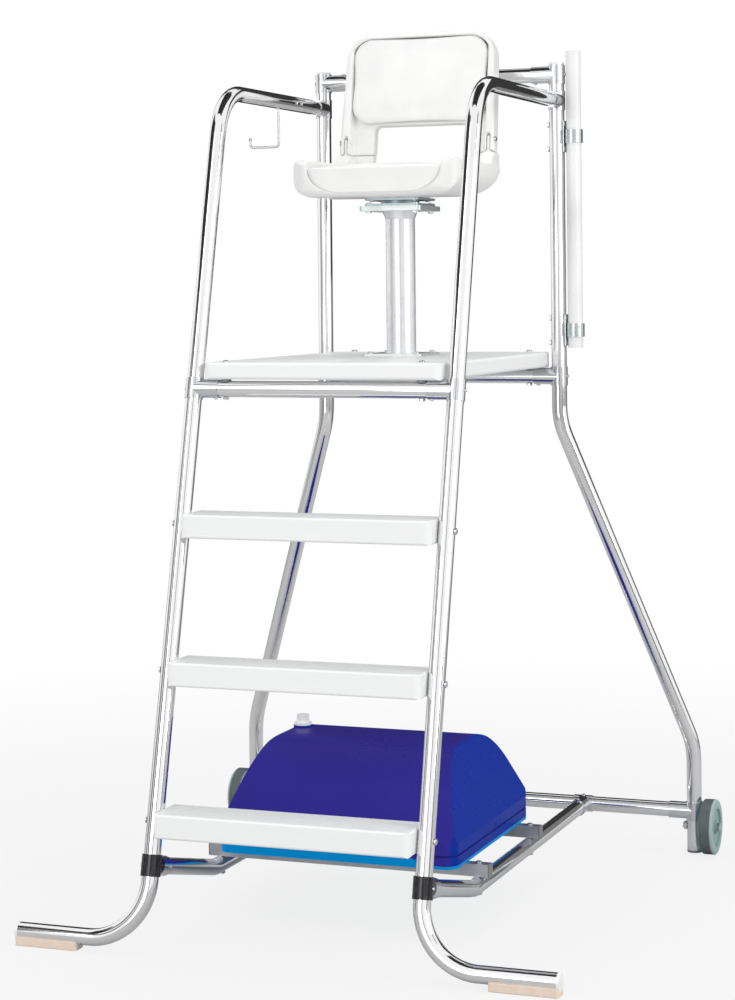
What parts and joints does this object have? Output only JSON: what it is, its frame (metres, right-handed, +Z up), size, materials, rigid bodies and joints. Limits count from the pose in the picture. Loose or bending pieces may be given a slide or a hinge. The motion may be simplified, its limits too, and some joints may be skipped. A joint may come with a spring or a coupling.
{
  "type": "lifeguard chair",
  "caption": "Tall movable lifeguard chair: ladder front, raised deck, swivel seat with a folding back, armrests, umbrella holder, ballast tank and rear wheels",
  "frame": {"origin": "on the floor, below the middle of the chair's footprint box", "axes": "+Z up, +Y from the ladder to the back of the chair, +X to the right of someone who faces the ladder"},
  "size_m": [1.3654, 1.4098, 2.1208],
  "materials": {
    "polished_tube": "mirror-polished stainless tube",
    "polished_fitting": "polished fittings, a little duller than the tube",
    "bright_steel": "bright bolts, screws and rod",
    "white_plastic": "smooth white plastic",
    "grey_plastic": "matte mid-grey plastic",
    "beige_rubber": "matte pinkish-beige pad",
    "black_collar": "glossy near-black",
    "deck_plastic": "white with a fine raised grip",
    "step_plastic": "white with a fine raised grip",
    "column_paint": "light glossy coating",
    "grey_plate": "satin grey plate",
    "dark_plate": "dark satin plate",
    "seat_plastic": "smooth moulded white shell",
    "seat_pad": "smooth white vinyl with soft folds",
    "bracket_metal": "greenish-grey strap",
    "rail_aluminium": "satin bar",
    "tank_plastic": "moulded royal blue",
    "wheel_hub": "grey-green moulded hub",
    "wheel_tread": "dark grey tread"
  },
  "bodies": {
    "frame": {"handrail_left": "polished_tube", "handrail_right": "polished_tube", "foot_tube_left": "polished_tube", "foot_tube_right": "polished_tube", "foot_caps": "white_plastic", "foot_pads": "beige_rubber", "base_collars": "black_collar", "side_tube_left": "polished_tube", "side_tube_right": "polished_tube", "rear_leg_left": "polished_tube", "rear_leg_right": "polished_tube", "post_caps": "white_plastic", "leg_tips": "grey_plastic", "arm_tees": "polished_fitting", "back_rail": "polished_tube", "back_rail_tees": "polished_fitting", "front_bar": "polished_tube", "front_bar_tees": "polished_fitting", "rear_bar": "polished_tube", "rear_bar_tees": "polished_fitting", "deck": "deck_plastic", "deck_spacers": "grey_plastic", "deck_bolts": "bright_steel", "step_upper": "step_plastic", "step_middle": "step_plastic", "step_lower": "step_plastic", "step_bolts": "bright_steel", "column": "column_paint", "column_flange": "grey_plate", "column_head": "grey_plate", "flange_bolts": "bright_steel", "swivel_base": "dark_plate", "swivel_bolts": "bright_steel", "umbrella_tube": "white_plastic", "umbrella_brackets": "bracket_metal", "bracket_bolts": "bright_steel", "hook_rod": "bright_steel", "arm_screws": "bright_steel", "rear_cross_tube": "polished_tube", "leg_tees": "polished_fitting", "side_tees": "polished_fitting", "tank_rail_front": "rail_aluminium", "tank_rail_rear": "rail_aluminium", "rail_caps": "grey_plastic", "rail_bolts": "bright_steel", "ballast_tank": "tank_plastic", "axles": "bright_steel", "fitting_screws": "bright_steel"},
    "seat": {"swivel_top": "dark_plate", "seat_bolts": "bright_steel", "seat_pan": "seat_plastic", "seat_cushion": "seat_pad", "hinge_pins": "bright_steel"},
    "back": {"seat_back": "seat_plastic", "back_cushion": "seat_pad"},
    "wheel_left": {"wheel_left_hub": "wheel_hub", "wheel_left_tyre": "wheel_tread"},
    "wheel_right": {"wheel_right_hub": "wheel_hub", "wheel_right_tyre": "wheel_tread"},
    "cap": {"fill_cap": "white_plastic"}
  },
  "joints": [
    {"name": "seat_swivel", "type": "hinge", "parent": "frame", "child": "seat", "pos_m": [0, 0.14125, 1.691], "axis": [0, 0, 1], "continuous": true},
    {"name": "seat_back_fold", "type": "hinge", "parent": "seat", "child": "back", "pos_m": [0, 0.27541, 1.84], "axis": [1, 0, 0], "range_deg": [0, 100]},
    {"name": "wheel_left_spin", "type": "hinge", "parent": "frame", "child": "wheel_left", "pos_m": [-0.65755, 0.63485, 0.07], "axis": [1, 0, 0], "continuous": true},
    {"name": "wheel_right_spin", "type": "hinge", "parent": "frame", "child": "wheel_right", "pos_m": [0.65755, 0.63485, 0.07], "axis": [1, 0, 0], "continuous": true},
    {"name": "fill_cap_turn", "type": "hinge", "parent": "frame", "child": "cap", "pos_m": [-0.205, -0.02775, 0.40245], "axis": [0, 0, 1], "range_deg": [0, 540]}
  ]
}
